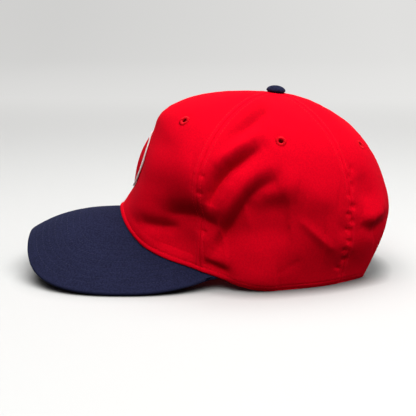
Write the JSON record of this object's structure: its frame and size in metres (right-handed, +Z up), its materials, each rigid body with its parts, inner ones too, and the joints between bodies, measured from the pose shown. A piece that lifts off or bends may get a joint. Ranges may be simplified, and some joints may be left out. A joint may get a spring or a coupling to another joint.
{
  "type": "snapback cap",
  "caption": "Red cloth cap with a rounded panelled crown, arched navy brim, covered top button, sewn eyelets, raised oval front patch and a strap across the half-moon back opening.",
  "frame": {"origin": "centre of the bounding box, at the surface the cap rests on", "axes": "+Z up to the top button, -Y towards the brim's tip, +Y towards the back opening, +X to the wearer's left"},
  "size_m": [0.179, 0.275, 0.139],
  "materials": {
    "red_cloth": "matte cotton twill",
    "navy_cloth": "matte cotton twill",
    "white_thread": "satin embroidery thread",
    "navy_plastic": "smooth moulded"
  },
  "bodies": {
    "root": {"front_panel_left": "red_cloth", "front_panel_right": "red_cloth", "side_panel_left": "red_cloth", "side_panel_right": "red_cloth", "back_panel_left": "red_cloth", "back_panel_right": "red_cloth", "eyelet_front_left": "red_cloth", "eyelet_front_right": "red_cloth", "eyelet_side_left": "red_cloth", "eyelet_side_right": "red_cloth", "eyelet_back_left": "red_cloth", "eyelet_back_right": "red_cloth", "brim": "navy_cloth", "sweatband": "navy_cloth", "snap_strap": "navy_plastic", "front_patch": "red_cloth", "front_patch_edge": "white_thread", "top_button": "navy_cloth"}
  },
  "joints": []
}
